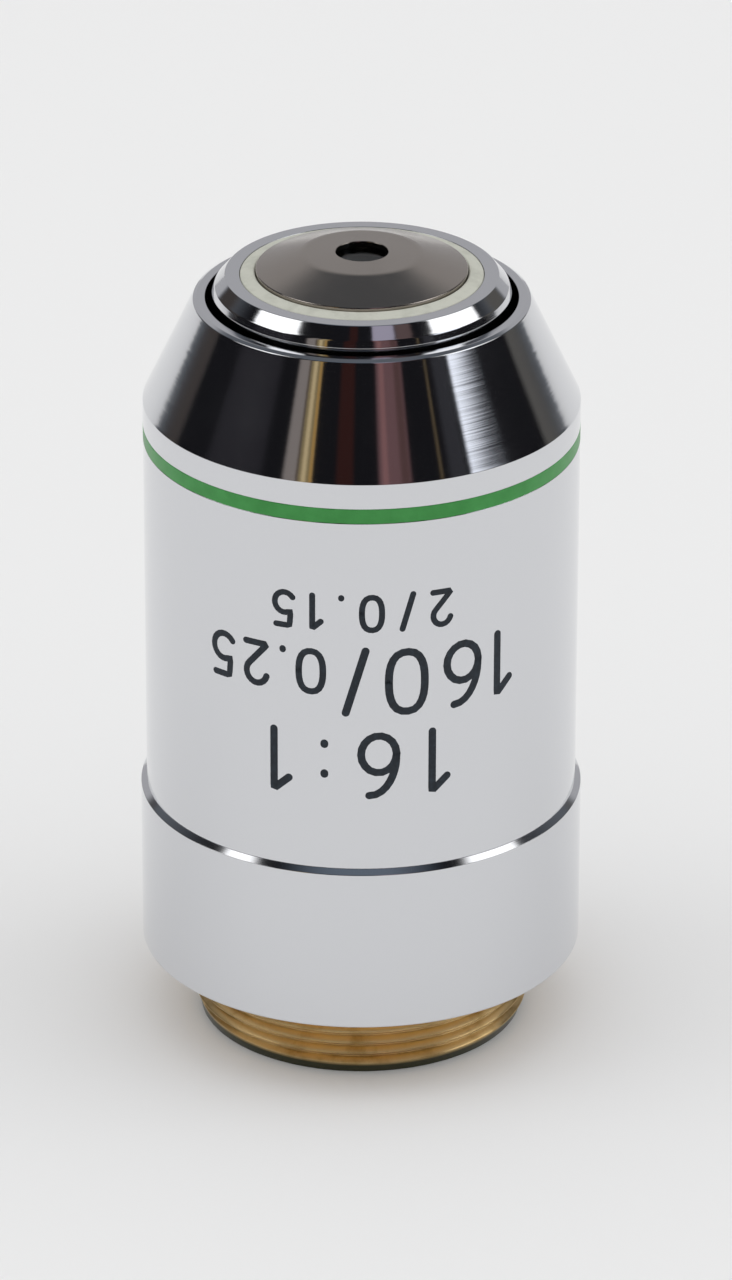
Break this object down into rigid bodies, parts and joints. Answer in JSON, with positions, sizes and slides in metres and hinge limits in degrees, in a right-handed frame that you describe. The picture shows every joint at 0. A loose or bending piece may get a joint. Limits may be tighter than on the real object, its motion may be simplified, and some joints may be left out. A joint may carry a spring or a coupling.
{
  "type": "microscope objective",
  "caption": "Chromed cylindrical microscope objective with a coned, spring-loaded nose, a green colour band and a brass mounting thread.",
  "frame": {"origin": "on the optical axis at the end of the mounting thread, which is the bottom of the object as it stands", "axes": "+Z along the optical axis from the mounting thread to the nose; +X towards the guide screw; the lettered front of the sleeve faces -Y"},
  "size_m": [0.0266, 0.0266, 0.0495],
  "materials": {
    "satin_chrome": "satin chrome plate over brass",
    "plated_brass": "satin chrome plate on the collar, bare turned brass on the thread",
    "blackened_brass": "matt blackened inner parts",
    "steel": "plain spring and screw steel",
    "crown_glass": "polished and coated",
    "flint_glass": "polished and coated",
    "green_enamel": "enamel filled flush into a groove",
    "pale_seal": "matt cream sealing compound",
    "dark_nickel": "dark nickel plate, fine turned"
  },
  "bodies": {
    "housing": {"mount_body": "plated_brass", "outer_sleeve": "satin_chrome", "colour_band": "green_enamel", "guide_tube": "blackened_brass", "guide_screw": "steel", "stop_ring": "blackened_brass", "retraction_spring": "steel"},
    "barrel": {"lens_barrel": "blackened_brass", "parfocal_shim": "steel", "nose_ring": "satin_chrome", "seal_ring": "pale_seal", "front_cap": "dark_nickel", "front_lens": "crown_glass", "front_spacer": "blackened_brass", "middle_cell": "blackened_brass", "middle_crown_lens": "crown_glass", "middle_flint_lens": "flint_glass", "middle_spacer": "blackened_brass", "rear_cell": "blackened_brass", "rear_crown_lens": "crown_glass", "rear_flint_lens": "flint_glass", "rear_spacer": "blackened_brass", "aperture_stop": "blackened_brass", "retaining_ring": "blackened_brass"}
  },
  "joints": [
    {"name": "nose_retraction", "type": "slide", "parent": "housing", "child": "barrel", "axis": [0, 0, -1], "range_m": [0, 0.002], "stiffness_N_per_m": 300, "springref_m": -0.007, "deforming": ["retraction_spring"]}
  ]
}
